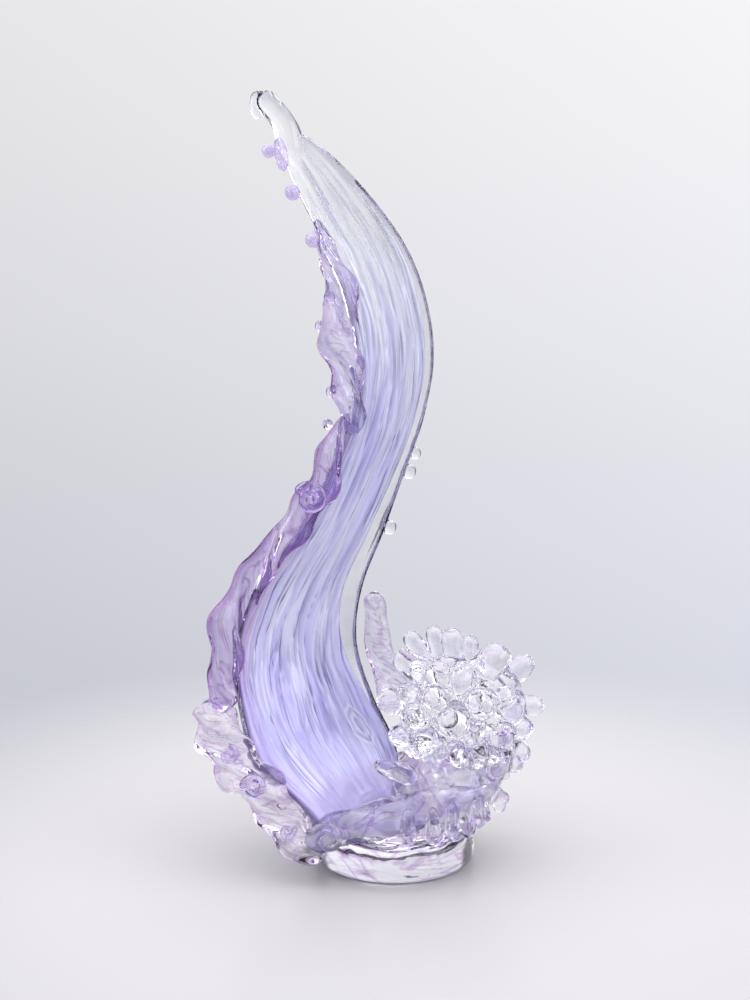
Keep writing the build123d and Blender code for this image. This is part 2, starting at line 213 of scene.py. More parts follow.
# Coils, in millimetres: middle, radius, half width of the tube, turns, and start in half turns
FRILL_LOOP = ((-61, -1, 269), 10.5, 4.0, 1.6, 0.9)
FRONT_SCROLL = ((-47.4, -67.0, 37), 11.0, 3.3, 1.2, 0.9)
FOAM_COILS = [
    ((-76, -61, 41), 5.2, 2.392, 1.2, 0.2),
    ((-100, -50, 69), 7.6, 3.496, 1.7, 1.1),
    ((-119, -41, 90), 6.0, 2.76, 1.4, 0.5),
]

# Polished glasses: tints of body, clouds and veins, shares of clouds and veins, marks per metre, strength of
# the ripples, index of refraction, and how the marbling lies and how coloured the hems are where they differ
POLISHED_GLASSES = {
    "clear_wave_glass": (("clear", "pale_cloud", "pale_cloud"), 0.25, 0.0, 45, 0.25, 1.42),
    "foot_glass": (("foot", "pale_cloud", "violet_vein"), 0.9, 0.85, 22, 0.6, 1.42, "layers"),
    "spray_glass": (("clear", "pale_cloud", "violet"), 0.5, 0.4, 42, 0.2, 1.40),
    "shoulder_glass": (("pale_cloud", "violet", "violet_vein"), 0.8, 0.5, 45, 0.15, 1.42, "ribbon", 0.4),
    "violet_hem_glass": (("pale_violet", "violet", "violet_vein"), 0.8, 0.85, 45, 0.1, 1.42, "ribbon", 0.85),
    "scalloped_rim_glass": (("rim", "pale_cloud", "violet_vein"), 0.8, 0.7, 50, 0.2, 1.45, "ribbon", 0.35),
    "marbled_lip_glass": (("clear", "pale_cloud", "violet_vein"), 0.6, 0.7, 30, 0.3, 1.34),
    "violet_bead_glass": (("pale_cloud", "violet", "violet_vein"), 0.8, 0.6, 90, 0.3, 1.42),
}

# Milky glasses: tints of body, clouds and veins, shares of clouds and veins, marks per metre, and coat
MILKY_GLASSES = {
    "marbled_heart_glass": (("heart", "core_deep", "violet_vein"), 0.4, 0.6, 30, 0.0),
    "crest_bead_glass": (("pale_violet", "violet", "violet_vein"), 0.7, 0.35, 40, 1.0),
}
# WHITE paints highlight threads on the core, and pale threads in milky glass.
WHITE = (1.0, 1.0, 1.0)

# Patches of the room: low mark, high mark and softness, along z, and along x, y and z
TOP_MARKS = (0.72, 2.0, 0.06)
STRIPS = [
    ((-0.95, -0.72, 0.03), (-2, 0.3, 0.1), (0.02, 0.62, 0.04)),
    ((0.62, 0.92, 0.03), (-2, 0.1, 0.1), (-0.05, 0.60, 0.04)),
]
FLAGS = [
    ((-0.62, -0.40, 0.05), (-2, -0.2, 0.1), (-0.6, 0.5, 0.1)),
    ((0.30, 0.52, 0.05), (-2, -0.2, 0.1), (-0.6, 0.5, 0.1)),
    ((-0.86, -0.62, 0.05), (0.2, 2, 0.1), (-0.8, 0.6, 0.1)),
    ((0.62, 0.86, 0.05), (0.2, 2, 0.1), (-0.8, 0.6, 0.1)),
]


def read_rows(rows, height):
    """A table's columns at a height, on a smooth curve through its rows."""
    table = np.array(rows, float)
    at, values = table[:, 0], table[:, 1:]
    slopes = np.gradient(values, at, axis=0)
    height = float(np.clip(height, at[0], at[-1]))
    low = int(np.clip(np.searchsorted(at, height) - 1, 0, len(at) - 2))
    span = at[low + 1] - at[low]
    part = (height - at[low]) / span
    return (
        (2 * part**3 - 3 * part**2 + 1) * values[low]
        + (part**3 - 2 * part**2 + part) * span * slopes[low]
        + (3 * part**2 - 2 * part**3) * values[low + 1]
        + (part**3 - part**2) * span * slopes[low + 1]
    )


def wave_frame(height):
    """Middle, half width, half thickness, curl and turn of the wave's level section, in metres."""
    left, right, back, front, curl, turn = read_rows(WAVE_SHARES, height)
    turn = radians(turn)
    middle = ((left + right) / 2 * WAVE_REACH * MM, (back + front) / 2 * WAVE_DEPTH * MM)
    half_width = (right - left) / 2 * WAVE_REACH * MM / cos(turn)
    half_thickness = (back - front) / 2 * WAVE_DEPTH * MM
    return middle, half_width, half_thickness, curl * WAVE_DEPTH * MM, turn


def full_curve(values, power):
    """Cosines or sines drawn out into a fuller curve."""
    return np.sign(values) * np.abs(values) ** power


def placed(name, mesh):
    """A new object of a mesh, in the scene."""
    piece = bpy.data.objects.new(name, mesh)
    bpy.context.scene.collection.objects.link(piece)
    return piece


def ringed(name, points, rings, sides, **values):
    """A closed skin over rings of points, with its values kept as attributes."""
    faces = []
    for ring in range(rings):
        for side in range(sides):
            a, b = ring * sides + side, ring * sides + (side + 1) % sides
            faces.append((a, b, b + sides, a + sides))
    faces.append(tuple(reversed(range(sides))))
    faces.append(tuple(range(rings * sides, (rings + 1) * sides)))
    mesh = bpy.data.meshes.new(name)
    mesh.from_pydata(points, [], faces)
    shape = bmesh.new()
    shape.from_mesh(mesh)
    bmesh.ops.recalc_face_normals(shape, faces=shape.faces)
    shape.to_mesh(mesh)
    shape.free()
    for key, each in values.items():
        mesh.attributes.new(key, "FLOAT", "POINT").data.foreach_set("value", np.array(each, np.float32))
    return placed(name, mesh)


def lofted(name, top, rows, columns, reach):
    """A closed body through the wave's level sections. reach gives its left, right, front and back."""
    wide_power, deep_power, edge_fade = 0.9, 0.72, 1.6
    least, start, growth = 0.12, 0.03, 0.04
    angles = np.arange(columns) * tau / columns
    points, across_all, rise_all, front_all = [], [], [], []
    for row in range(rows + 1):
        height = top * row / rows
        middle, half_width, half_thickness, curl, turn = wave_frame(height)
        left, right, front, back = reach(height, half_width, half_thickness)
        across = (left + right) / 2 + (right - left) / 2 * full_curve(np.cos(angles), wide_power)
        through = (back - front) / 2 + (back + front) / 2 * full_curve(np.sin(angles), deep_power)
        x = across * half_width
        y = through - curl * across**2
        z = WAVE_SEAT * MM + height * WAVE_HEIGHT * MM
        points += [
            (middle[0] + a * cos(turn) - b * sin(turn), middle[1] + a * sin(turn) + b * cos(turn), z)
            for a, b in zip(x, y)
        ]
        across_all += list(across)
        rise_all += [height] * columns
        relief = min(1.0, max(least, (height - start) / growth))
        front_all += list(np.clip(-np.sin(angles) * edge_fade, 0, 1) * relief)
    return ringed(name, points, rows, columns, across=across_all, rise=rise_all, front=front_all)


def round_rod(step, angles, half_width, half_depth):
    """The section of a round rod of glass."""
    return np.cos(angles) * half_width, np.sin(angles) * half_depth


def rope(lobes, share, turns):
    """The section of a twisted rope of glass."""

    def section(step, angles, half_width, half_depth):
        lobe = 1 + share * np.cos(lobes * angles + tau * turns * step)
        return np.cos(angles) * half_width * lobe, np.sin(angles) * half_depth * lobe

    return section


def ribbon(wall, curl, folds, ruffles):
    """The section of a folded ribbon: a thin sheet with rolled hems, folds and ruffles."""
    power, sway, apart, reach, middle, hem = 0.8, 0.13, 1.9, 0.95, 0.75, 0.65

    def section(step, angles, half_width, half_depth):
        across = full_curve(np.cos(angles), power)
        width = half_width * (1 + sway * np.sin(tau * ruffles * step + apart * np.sign(across)))
        sheet = half_depth * curl * np.sin(reach * pi * across + tau * folds * step)
        thick = wall * (middle + hem * across**4)
        return across * width, sheet + full_curve(np.sin(angles), power) * thick

    return section


def swept(name, rows, section, rings=150, sides=44, cap=0.05):
    """A closed trail of glass with rounded ends along a smooth line."""
    keyed = [(index / (len(rows) - 1), *row) for index, row in enumerate(rows)]
    steps = np.linspace(0, 1, rings + 1)
    along = np.array([read_rows(keyed, step) for step in steps])
    centres = along[:, :3] * MM
    ways = np.gradient(centres, steps, axis=0)
    ways /= np.linalg.norm(ways, axis=1, keepdims=True)
    angles = np.arange(sides) * tau / sides
    points, across_all, rise_all = [], [], []
    for step, centre, way, (half_width, half_depth, twist) in zip(steps, centres, ways, along[:, 3:]):
        wide = np.cross(way, (0, -1, 0))
        wide /= np.linalg.norm(wide)
        deep = np.cross(wide, way)
        end = min(1.0, min(step, 1 - step) / cap)
        size = max((1 - (1 - end) ** 2) ** 0.5, END_LEAST) * MM
        a, b = section(step, angles, half_width, half_depth)
        turn = radians(twist)
        a, b = (a * cos(turn) - b * sin(turn)) * size, (a * sin(turn) + b * cos(turn)) * size
        points += [tuple(centre + wide * p + deep * q) for p, q in zip(a, b)]
        across_all += list(np.cos(angles))
        rise_all += [step] * sides
    return ringed(name, points, rings, sides, across=across_all, rise=rise_all)


def coil(name, centre, radius, tube, turns, start):
    """A swirl of glass that faces the viewer: a tube that is wound inwards and thins."""
    x, y, z = centre
    close, thin, lean = 0.78, 0.4, 0.5
    rows = []
    for step in np.linspace(0, 1, 26):
        angle = pi * start - tau * turns * step
        reach = radius * (1 - close * step)
        half = tube * (1 - thin * step)
        place = (x + reach * cos(angle), y - lean * tube * step, z + reach * sin(angle))
        rows.append((*place, half, half, 0))
    return swept(name, rows, round_rod, rings=120, sides=20)


def closed(name, shape):
    """A new object of a working mesh, which is used up."""
    mesh = bpy.data.meshes.new(name)
    shape.to_mesh(mesh)
    shape.free()
    return placed(name, mesh)


def merged(name, meshes, weld=0.0):
    """One object of several meshes. Points nearer to each other than weld become one."""
    shape = bmesh.new()
    for mesh in meshes:
        shape.from_mesh(mesh)
    if weld:
        bmesh.ops.remove_doubles(shape, verts=shape.verts, dist=weld)
    return closed(name, shape)


def cad_copy(name, *nodes):
    """One piece of the named CAD nodes."""
    return merged(name, [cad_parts[node].data for node in nodes], 1e-6)


def joined(name, *pieces):
    """One piece of several, which are used up."""
    whole = merged(name, [piece.data for piece in pieces])
    for piece in pieces:
        bpy.data.meshes.remove(piece.data)
    return whole


def settled(piece):
    """The piece with its modifiers worked in and its faces shaded smooth."""
    bpy.context.view_layer.update()
    evaluated = piece.evaluated_get(bpy.context.evaluated_depsgraph_get())
    mesh = bpy.data.meshes.new_from_object(evaluated)
    piece.modifiers.clear()
    old, piece.data = piece.data, mesh
    bpy.data.meshes.remove(old)
    mesh.name = piece.name
    mesh.shade_smooth()
    return piece


def fused(piece, voxel, rounds, material=None):
    """Melts the solids of a piece into one skin, of the named glass if there is one."""
    remesh = piece.modifiers.new("melt", "REMESH")
    remesh.mode = "VOXEL"
    remesh.voxel_size = voxel * MM
    smooth = piece.modifiers.new("settle", "SMOOTH")
    smooth.factor = 0.5
    smooth.iterations = rounds
    settled(piece)
    if material:
        piece.data.materials.append(glass(material))
    return piece


def reshaped(piece, centre, share, swell=0.0):
    """Swells a piece along its normals in millimetres, then draws it in to a share of its size."""
    mesh = piece.data
    middle = np.array(centre) * MM
    places, normals = np.empty(len(mesh.vertices) * 3), np.empty(len(mesh.vertices) * 3)
    mesh.vertices.foreach_get("co", places)
    mesh.vertex_normals.foreach_get("vector", normals)
    swollen = places.reshape(-1, 3) + normals.reshape(-1, 3) * swell * MM
    places = middle + (swollen - middle) * share
    mesh.vertices.foreach_set("co", places.ravel())
    mesh.update()


def trail(name, rows, sheet, material, rings=150, sides=64, cap=0.05, **folds):
    """A folded ribbon of the named glass, laid along its rows. sheet is its wall, curl, folds and ruffles."""
    piece = swept(name, rows, ribbon(*sheet), rings, sides, cap)
    return shaped_by(piece, soft_folds, material=glass(material), **folds)


def finished(piece, slot, *nodes):
    """Puts a piece in its CAD nodes' place, on the root body."""
    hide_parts(*nodes)
    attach(piece, "root")


class Net:
    """Adds and joins the nodes of a tree."""

    def __init__(self, tree):
        self.tree = tree

    def add(self, kind, inputs=None, **settings):
        node = self.tree.nodes.new(kind)
        for key, value in settings.items():
            setattr(node, key, value)
        for key, value in (inputs or {}).items():
            self.set(node.inputs[key], value)
        return node

    def set(self, socket, value):
        if isinstance(value, bpy.types.NodeSocket):
            self.tree.links.new(value, socket)
        else:
            socket.default_value = value

    def math(self, operation, *values):
        return self.add("ShaderNodeMath", dict(enumerate(values)), operation=operation).outputs[0]

    plus = partialmethod(math, "ADD")
    minus = partialmethod(math, "SUBTRACT")
    times = partialmethod(math, "MULTIPLY")
    times_plus = partialmethod(math, "MULTIPLY_ADD")

    def off(self, value, middle):
        """How far a value is from a middle, either way."""
        return self.math("ABSOLUTE", self.minus(value, middle))

    def place(self, x, y, z):
        return self.add("ShaderNodeCombineXYZ", {0: x, 1: y, 2: z}).outputs[0]

    def noise(self, place, scale=1.0, detail=2.0, distortion=0.0):
        inputs = {"Vector": place, "Scale": scale, "Detail": detail, "Distortion": distortion}
        return self.add("ShaderNodeTexNoise", inputs).outputs[0]

    def eased(self, value, low, high, first=0.0, last=1.0):
        inputs = {0: value, 1: low, 2: high, 3: first, 4: last}
        return self.add("ShaderNodeMapRange", inputs, interpolation_type="SMOOTHSTEP").outputs[0]

    def mixed(self, factor, first, last):
        node = self.add("ShaderNodeMix", {0: factor}, data_type="RGBA")
        for socket, value in ((node.inputs[6], first), (node.inputs[7], last)):
            self.set(socket, value if isinstance(value, bpy.types.NodeSocket) else (*value, 1))
        return node.outputs[2]

    def length(self, place):
        return self.add("ShaderNodeVectorMath", {0: place}, operation="LENGTH").outputs["Value"]

    def own(self, key):
        """A piece's own attribute."""
        if self.tree.type == "SHADER":
            return self.add("ShaderNodeAttribute", attribute_name=key).outputs["Fac"]
        node = self.add("GeometryNodeInputNamedAttribute", {"Name": key}, data_type="FLOAT")
        return node.outputs["Attribute"]

    def group(self, make, inputs):
        """The outputs of a shared shader group's node."""
        return self.add("ShaderNodeGroup", inputs, node_tree=made_once(make)).outputs


def socket_form(name, value):
    """The kind of socket that a named value needs."""
    if name in ("Geometry", "Material", "Vector"):
        return "NodeSocket" + name
    return "NodeSocketInt" if isinstance(value, int) else "NodeSocketFloat"


def new_tree(title, kind, inputs, outputs):
    """A node group with named inputs and outputs: its tree, its net, and the outputs of its input node."""
    tree = bpy.data.node_groups.new(title, kind)
    for name, value in inputs.items():
        socket = tree.interface.new_socket(name, in_out="INPUT", socket_type=socket_form(name, value))
        if value is not None:
            socket.default_value = value
    for name in outputs:
        tree.interface.new_socket(name, in_out="OUTPUT", socket_type=socket_form(name, 0.0))
    net = Net(tree)
    return tree, net, net.add("NodeGroupInput").outputs


def new_shape_tree(title, sizes):
    """A Geometry Nodes group that takes a geometry, sizes and a material."""
    inputs = {"Geometry": None, **sizes, "Material": None}
    return new_tree(title, "GeometryNodeTree", inputs, ["Geometry"])


def made_once(make):
    """A shared node group, which its function makes under its own name."""
    return bpy.data.node_groups.get(make.__name__) or make()


def ended(net, geometry, material):
    """Closes a Geometry Nodes tree with real meshes and their material."""
    real = net.add("GeometryNodeRealizeInstances", {"Geometry": geometry}).outputs[0]
    done = net.add("GeometryNodeSetMaterial", {"Geometry": real, "Material": material}).outputs[0]
    net.add("NodeGroupOutput", {0: done})


def lifted(net, geometry, lift):
    """Moves a surface out along its normal."""
    normal = net.add("GeometryNodeInputNormal").outputs[0]
    offset = net.add("ShaderNodeVectorMath", {0: normal, "Scale": lift}, operation="SCALE").outputs[0]
    return net.add("GeometryNodeSetPosition", {"Geometry": geometry, "Offset": offset}).outputs[0]


def creased(net, noise, sharpness):
    """One where a noise passes its middle, falling to nought on both sides."""
    return net.minus(1.0, net.math("MINIMUM", net.times(net.off(noise, 0.5), sharpness), 1.0))


def bent_across(net, across, rise, seed, bend):
    """Places across the wave that sway from side to side as they rise."""
    wide, long = 1.4, 7.0
    slow = net.noise(net.place(net.times(across, wide), net.times(rise, long), seed))
    return net.times_plus(net.minus(slow, 0.5), bend, across)


def flowing_flutes():
    """Geometry Nodes that draw folds and sharp flutes along a lofted body and keep the flutes' depth."""
    sizes = {
        "Fold Depth": 0.002, "Folds Across": 4.0, "Flute Depth": 0.001, "Flutes Across": 10.0,
        "Flutes Along": 4.0, "Bend": 0.2, "Seed": 0.0,
    }
    tree, net, start = new_shape_tree("flowing_flutes", sizes)
    across, rise, front = (net.own(key) for key in ("across", "rise", "front"))
    bent = bent_across(net, across, rise, start["Seed"], start["Bend"])
    along = net.times(rise, start["Flutes Along"])
    fold = net.place(net.times(bent, start["Folds Across"]), along, start["Seed"])
    fold = net.times(net.minus(net.noise(fold, 1.0, 1.5), 0.5), 2.0)
    flute = net.place(
        net.times(bent, start["Flutes Across"]), net.times(along, 1.5), net.plus(start["Seed"], 9.0)
    )
    flute = net.eased(creased(net, net.noise(flute, 1.0, 1.0), 9.0), 0.0, 1.0)
    lift = net.minus(net.times(fold, start["Fold Depth"]), net.times(flute, start["Flute Depth"]))
    shaped = lifted(net, start["Geometry"], net.times(lift, front))
    for key, value in (("valley", flute), ("fold", fold)):
        inputs = {"Geometry": shaped, "Name": key, "Value": value}
        shaped = net.add("GeometryNodeStoreNamedAttribute", inputs, data_type="FLOAT").outputs[0]
    ended(net, shaped, start["Material"])
    return tree


def soft_folds():
    """Geometry Nodes that raise soft lumps and press thin creases into hot glass."""
    sizes = {"Lump Height": 0.002, "Lumps Per Metre": 60.0, "Crease Depth": 0.001, "Swell": 0.0, "Seed": 0.0}
    tree, net, start = new_shape_tree("soft_folds", sizes)
    place = net.add("GeometryNodeInputPosition").outputs[0]
    shift = net.place(start["Seed"], 0.0, 0.0)
    shifted = net.add("ShaderNodeVectorMath", {0: place, 1: shift}).outputs[0]
    noise = net.noise(shifted, start["Lumps Per Metre"], 1.5, 0.6)
    lump = net.times(net.minus(noise, 0.5), 4.0)
    lift = net.minus(
        net.times_plus(lump, start["Lump Height"], start["Swell"]),
        net.times(creased(net, noise, 10.0), start["Crease Depth"]),
    )
    ended(net, lifted(net, start["Geometry"], lift), start["Material"])
    return tree


def laid_drops():
    """Geometry Nodes that lay fat drops over a mound, each pointing away from it."""
    sizes = {"Drop Radius": 0.006, "Drop Length": 1.8, "Spacing": 0.012, "Seed": 0}
    tree, net, start = new_shape_tree("laid_drops", sizes)
    seed = start["Seed"]
    mound, spacing = start["Geometry"], start["Spacing"]
    inputs = {"Mesh": mound, "Distance Min": spacing, "Density Max": 20000.0, "Seed": seed}
    points = net.add("GeometryNodeDistributePointsOnFaces", inputs, distribute_method="POISSON").outputs
    inputs = {"Radius": start["Drop Radius"], "Subdivisions": 3}
    ball = net.add("GeometryNodeMeshIcoSphere", inputs).outputs[0]
    size = net.add("FunctionNodeRandomValue", {2: 0.7, 3: 1.15, "Seed": seed}, data_type="FLOAT").outputs[1]
    drops = net.add(
        "GeometryNodeInstanceOnPoints",
        {
            "Points": points["Points"],
            "Instance": ball,
            "Rotation": points["Rotation"],
            "Scale": net.place(size, size, net.times(size, start["Drop Length"])),
        },
    ).outputs[0]
    both = net.add("GeometryNodeJoinGeometry")
    for each in (drops, mound):
        tree.links.new(each, both.inputs[0])
    ended(net, both.outputs[0], start["Material"])
    return tree


def shaped_by(piece, make_tree, **inputs):
    """The piece with a Geometry Nodes tree worked in, its inputs set by name."""
    tree = made_once(make_tree)
    step = piece.modifiers.new(tree.name, "NODES")
    step.node_group = tree
    sockets = {item.name: item.identifier for item in tree.interface.items_tree if item.in_out == "INPUT"}
    for name, value in inputs.items():
        step[sockets[name.replace("_", " ").title()]] = value
    return settled(piece)


def marbled_veins():
    """Shader nodes for the marbling folded into the glass: broad clouds, thin veins and pale threads."""
    inputs = {"Vector": None, "Scale": 40.0}
    tree, net, start = new_tree("marbled_veins", "ShaderNodeTree", inputs, ["Clouds", "Veins", "Threads"])
    place, scale = start["Vector"], start["Scale"]
    clouds = net.eased(net.noise(place, scale, 2.0, 1.4), 0.46, 0.66)
    bands = net.noise(place, net.times(scale, 0.8), 2.0, 2.4)
    veins = net.eased(net.off(bands, 0.52), 0.0, 0.045, 1.0, 0.0)
    fine = net.noise(place, net.times(scale, 1.3), 1.0, 3.0)
    threads = net.eased(net.off(fine, 0.47), 0.0, 0.02, 1.0, 0.0)
    net.add("NodeGroupOutput", {0: clouds, 1: veins, 2: threads})
    return tree


def soft_ripples():
    """Shader nodes for the soft waves and fine cords of fire-polished glass."""
    inputs = {"Vector": None, "Scale": 40.0}
    tree, net, start = new_tree("soft_ripples", "ShaderNodeTree", inputs, ["Height"])
    place, scale = start["Vector"], start["Scale"]
    broad = net.noise(place, scale, 1.5, 0.8)
    fine = net.noise(place, net.times(scale, 3.5), 1.0, 0.4)
    net.add("NodeGroupOutput", {0: net.times_plus(fine, 0.15, broad)})
    return tree


def drawn_streaks():
    """Shader nodes for streaks along the wave: broad bands of colour, pale threads that are painted
    highlights, and short dark dashes that are painted dark refractions.
    """
    inputs = {"Across": 0.0, "Rise": 0.0, "Bend": 0.2}
    tree, net, start = new_tree("drawn_streaks", "ShaderNodeTree", inputs, ["Bands", "Threads", "Dashes"])
    rise = start["Rise"]
    across = bent_across(net, start["Across"], rise, 4.0, start["Bend"])

    def drawn(wide, long, seed, detail):
        place = net.place(net.times(across, wide), net.times(rise, long), seed)
        return net.noise(place, 1.0, detail)

    bands = net.eased(drawn(5.5, 4.0, 3.7, 2.5), 0.24, 0.72)
    # Pale threads: painted highlights along the flutes.
    threads = net.eased(drawn(34.0, 6.0, 8.1, 1.5), 0.58, 0.66)
    # Dark dashes: painted dark refractions in the flutes.
    dashes = net.eased(drawn(28.0, 8.0, 15.3, 0.5), 0.62, 0.67)
    net.add("NodeGroupOutput", {0: bands, 1: threads, 2: dashes})
    return tree


def new_glass(name, **values):
    """A new glass material, its net and its shader."""
    material = bpy.data.materials.new(name)
    material.use_nodes = True
    material.node_tree.nodes.clear()
    net = Net(material.node_tree)
    sockets = {key.replace("_", " ").title().replace("Ior", "IOR"): value for key, value in values.items()}
    shader = net.add("ShaderNodeBsdfPrincipled", sockets)
    net.add("ShaderNodeOutputMaterial", {"Surface": shader.outputs[0]})
    return material, net, shader


def oval_swirl(net):
    """Masks of the oval swirl low on the core's front: pale rings with dark rings between."""
    coords = net.add("ShaderNodeTexCoord").outputs["Object"]
    middle, size, turn = (-0.027, 0, 0.094), (0.0175, 1, 0.0066), (0, radians(50), 0)
    inputs = {"Vector": coords, "Location": middle, "Rotation": turn, "Scale": size}
    turned = net.add("ShaderNodeMapping", inputs, vector_type="TEXTURE").outputs[0]
    all_rings = {"pale": ((0.90, 0.16), (0.42, 0.16)), "dark": ((0.68, 0.08), (0.18, 0.10))}
    x, y, z = net.add("ShaderNodeSeparateXYZ", {0: turned}).outputs
    wander = net.times_plus(net.noise(turned, 1.0, 1.0, 0.4), 0.9, -0.45)
    reach = net.plus(net.length(net.place(x, 0.0, z)), wander)
    front = net.math("LESS_THAN", y, 0.03)
    masks = {}
    for key, rings in all_rings.items():
        mask = 0.0
        for middle, half in rings:
            ring = net.eased(net.off(reach, middle), 0.0, half, 1.0, 0.0)
            mask = net.math("MAXIMUM", mask, ring)
        masks[key] = net.times(mask, front)
    return masks


def core_glass():
    """Milky violet glass with painted highlight threads, painted shade and painted dark dashes in the flute
    valleys, and painted light on the fold crests, fading out towards the crest.
    """
    tints = bpy.context.scene.glass_wave_tints
    material, net, shader = new_glass(
        "violet_core_glass", transmission_weight=0.45, roughness=0.06, ior=1.12, coat_weight=1.0
    )
    across, rise, valley, fold = (net.own(key) for key in ("across", "rise", "valley", "fold"))
    streaks = net.group(drawn_streaks, {"Across": across, "Rise": rise, "Bend": FLUTES["bend"]})
    bands = streaks["Bands"]
    # Painted shade: the flute valleys darker, most in the deep bands and low down.
    valley_shade = net.times(net.eased(valley, 0.35, 0.95), net.eased(bands, 0.2, 0.9, 0.5, 0.15))
    valley_shade = net.times(valley_shade, net.eased(rise, 0.28, 0.42, 1.0, 0.6))
    # Painted dark refractions: the dashes, strongest in the flute valleys.
    dashes = net.times(streaks["Dashes"], net.eased(valley, 0.0, 0.5, 0.35, 0.9))
    edge = net.times(net.eased(across, -0.62, -0.92), net.eased(rise, 0.62, 0.40))
    level = net.times_plus(across, -0.018, rise)
    swirl = oval_swirl(net)
    layers = (
        # Painted light: the crests of the broad folds paler.
        (net.eased(fold, -0.1, 0.45, 0.0, 0.6), tints.core_pale),
        # Painted highlights: white threads along the flutes.
        (net.times(streaks["Threads"], 0.8), WHITE),
        # Painted shade in the flute valleys.
        (valley_shade, tints.core_line),
        # Painted dark refractions in the flutes.
        (dashes, tints.core_line),
        (net.times(edge, 0.55), tints.violet_vein),
        (net.eased(rise, 0.28, 0.10, 0.0, 0.42), tints.core_deep),
        (net.eased(rise, 0.24, 0.42, 0.0, 0.2), tints.core_pale),
        (net.eased(level, 0.062, 0.050, 0.0, 0.85), tints.scoop),
        (net.eased(rise, 0.55, 0.86, 0.0, 0.8), tints.crest),
        (net.times(swirl["dark"], 0.4), tints.core_line),
        (net.times(swirl["pale"], 0.5), tints.ring),
    )
    colour = net.mixed(bands, tints.core_deep, tints.core_pale)
    for share, tint in layers:
        colour = net.mixed(share, colour, tint)
    net.set(shader.inputs["Base Color"], colour)
    cover = net.times_plus(net.minus(bands, 0.5), 0.24, rise)
    net.set(shader.inputs["Alpha"], net.eased(cover, 0.95, 0.70))
    return material


def ribbon_place(net):
    """Places on a ribbon, drawn out along it, so that a pattern follows its folds."""
    lean, wide, long, deep = 0.16, 0.030, 0.09, 0.006
    across, rise = net.own("across"), net.own("rise")
    slant = net.times_plus(rise, lean, net.times(across, wide))
    return net.place(slant, net.times(rise, long), net.times(across, deep))


def marbled(net, veined, tints, clouds, veins):
    """The colour of glass with clouds and veins of its three tints."""
    body, cloud, vein = tints
    colour = net.mixed(net.times(veined["Clouds"], clouds), body, cloud)
    return net.mixed(net.times(veined["Veins"], veins), colour, vein)


def polished_glass(name, tints, clouds, veins, scale, ripple, ior, lie="even", hem=0.0):
    """Fire-polished glass, marbled evenly, in layers, or along a ribbon with coloured hems."""
    material, net, shader = new_glass(name, roughness=0.0, transmission_weight=1.0, ior=ior)
    coords = net.add("ShaderNodeTexCoord").outputs["Object"]
    along = coords
    if lie == "ribbon":
        along = ribbon_place(net)
    elif lie == "layers":
        along = net.add("ShaderNodeMapping", {"Vector": coords, "Scale": (0.5, 0.5, 1.6)}).outputs[0]
    veined = net.group(marbled_veins, {"Vector": along, "Scale": scale})
    colour = marbled(net, veined, tints, clouds, veins)
    if lie == "ribbon":
        hems = net.eased(net.math("ABSOLUTE", net.own("across")), 0.45, 0.95, 0.0, hem)
        colour = net.mixed(hems, colour, tints[2])
    net.set(shader.inputs["Base Color"], colour)
    ripples = net.group(soft_ripples, {"Vector": coords, "Scale": scale})[0]
    dent = net.add("ShaderNodeBump", {"Height": ripples, "Strength": ripple, "Distance": 0.002})
    net.set(shader.inputs["Normal"], dent.outputs[0])
    return material


def milky_glass(name, tints, clouds, veins, scale, coat):
    """Milky marbled glass with pale threads, as it lies inside clear glass."""
    material, net, shader = new_glass(
        name, roughness=0.05, ior=1.10, transmission_weight=0.7, coat_weight=coat
    )
    coords = net.add("ShaderNodeTexCoord").outputs["Object"]
    veined = net.group(marbled_veins, {"Vector": coords, "Scale": scale})
    colour = marbled(net, veined, tints, clouds, veins)
    net.set(shader.inputs["Base Color"], net.mixed(veined["Threads"], colour, WHITE))
    return material


def glass(name):
    """The glass of a row of the two tables, made once."""
    if name in bpy.data.materials:
        return bpy.data.materials[name]
    polished = name in POLISHED_GLASSES
    keys, *values = POLISHED_GLASSES[name] if polished else MILKY_GLASSES[name]
    tints = [getattr(bpy.context.scene.glass_wave_tints, key) for key in keys]
    return (polished_glass if polished else milky_glass)(name, tints, *values)


def soft_box(net, value, low, high, soft):
    """A value that is one between two marks, with soft edges."""
    up = net.eased(value, low - soft, low + soft)
    down = net.eased(value, high - soft, high + soft, 1.0, 0.0)
    return net.times(up, down)


def soft_patches(net, way, rows):
    """The soft patches of the room that rows of marks along x, y and z bound, added up."""
    total = 0.0
    for row in rows:
        patch = 1.0
        for axis, marks in zip(way, row):
            patch = net.times(patch, soft_box(net, axis, *marks))
        total = net.plus(total, patch)
    return total


